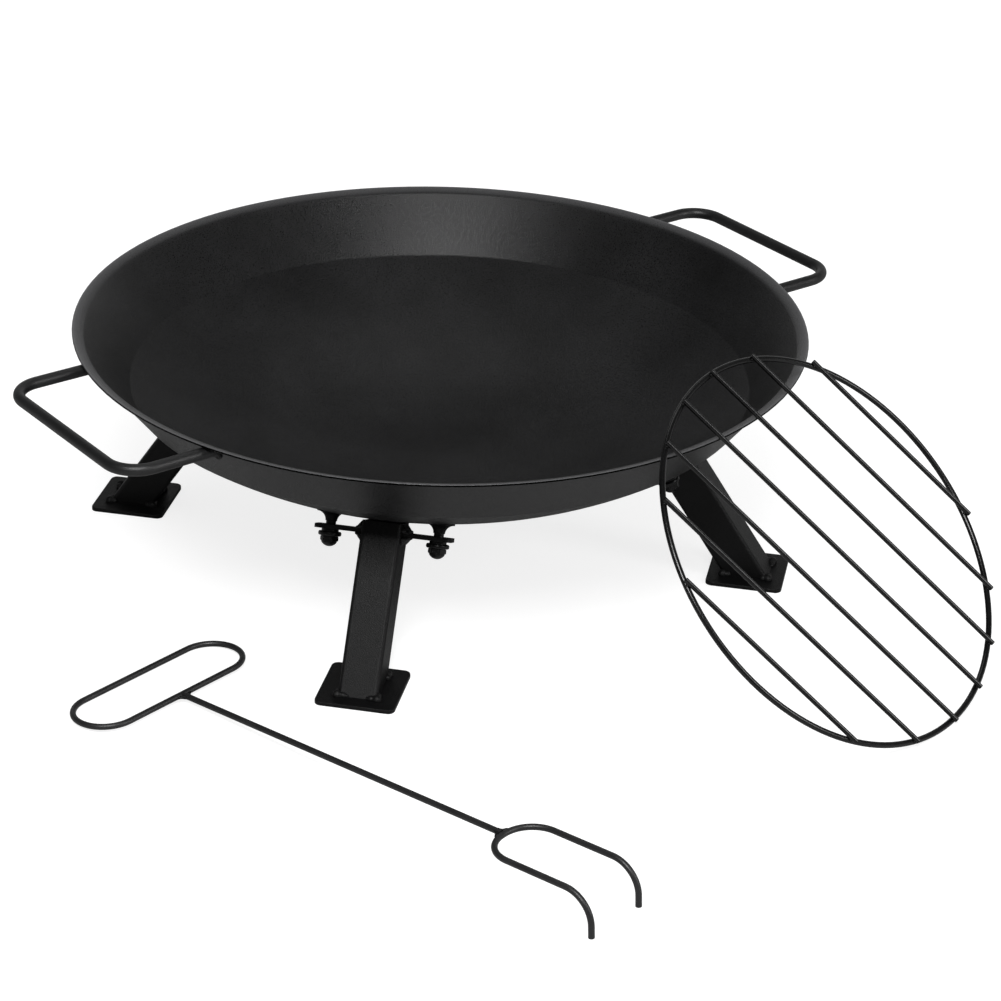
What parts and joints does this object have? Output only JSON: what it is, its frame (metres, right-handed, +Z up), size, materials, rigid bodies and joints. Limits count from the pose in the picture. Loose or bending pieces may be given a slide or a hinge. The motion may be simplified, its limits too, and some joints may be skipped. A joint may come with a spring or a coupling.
{
  "type": "fire pit",
  "caption": "Round black steel fire pit bowl with rod handles on splayed square-tube legs, with a round wire cooking grate leaning on its rim and a long lifting fork beside it.",
  "frame": {"origin": "middle of the bowl's floor, on its inside, above the point midway between the four feet", "axes": "+Z up, out of the bowl; X through the two carrying handles; the grate leans on the rim towards -Y and the fork lies on the ground towards -X and -Y"},
  "size_m": [0.9681, 1.0633, 0.299],
  "materials": {
    "bowl_black": "satin black heat-resistant paint on pressed steel sheet",
    "frame_black": "satin black paint on welded steel tube, plate and rod",
    "fastener_black": "black-coated studs, washers and dome nuts",
    "wire_black": "semi-gloss black coating on round steel wire"
  },
  "bodies": {
    "fire_bowl": {"bowl": "bowl_black", "handle_right": "frame_black", "handle_left": "frame_black", "handle_welds_right": "frame_black", "handle_welds_left": "frame_black", "leg_tube_back_right": "frame_black", "foot_plate_back_right": "frame_black", "foot_weld_back_right": "frame_black", "leg_bracket_back_right": "frame_black", "bracket_welds_back_right": "frame_black", "leg_tube_back_left": "frame_black", "foot_plate_back_left": "frame_black", "foot_weld_back_left": "frame_black", "leg_bracket_back_left": "frame_black", "bracket_welds_back_left": "frame_black", "leg_tube_front_left": "frame_black", "foot_plate_front_left": "frame_black", "foot_weld_front_left": "frame_black", "leg_bracket_front_left": "frame_black", "bracket_welds_front_left": "frame_black", "leg_tube_front_right": "frame_black", "foot_plate_front_right": "frame_black", "foot_weld_front_right": "frame_black", "leg_bracket_front_right": "frame_black", "bracket_welds_front_right": "frame_black", "weld_studs": "fastener_black", "stud_collars": "frame_black", "spring_washers": "fastener_black", "flat_washers": "fastener_black", "dome_nuts": "fastener_black"},
    "grate": {"grate_ring": "wire_black", "grate_bar_1": "wire_black", "grate_bar_2": "wire_black", "grate_bar_3": "wire_black", "grate_bar_4": "wire_black", "grate_bar_5": "wire_black", "grate_bar_6": "wire_black", "grate_bar_7": "wire_black"},
    "lifting_fork": {"fork_handle": "wire_black", "fork_shaft": "wire_black", "fork_prongs": "wire_black", "fork_welds": "wire_black"}
  },
  "joints": [
    {"name": "grate_lift", "type": "slide", "parent": "fire_bowl", "child": "grate", "axis": [0, 0, 1], "range_m": [0, 0.3]},
    {"name": "fork_lift", "type": "slide", "parent": "fire_bowl", "child": "lifting_fork", "axis": [0.1506, -0.6909, 0.7071], "range_m": [0, 0.4]}
  ]
}
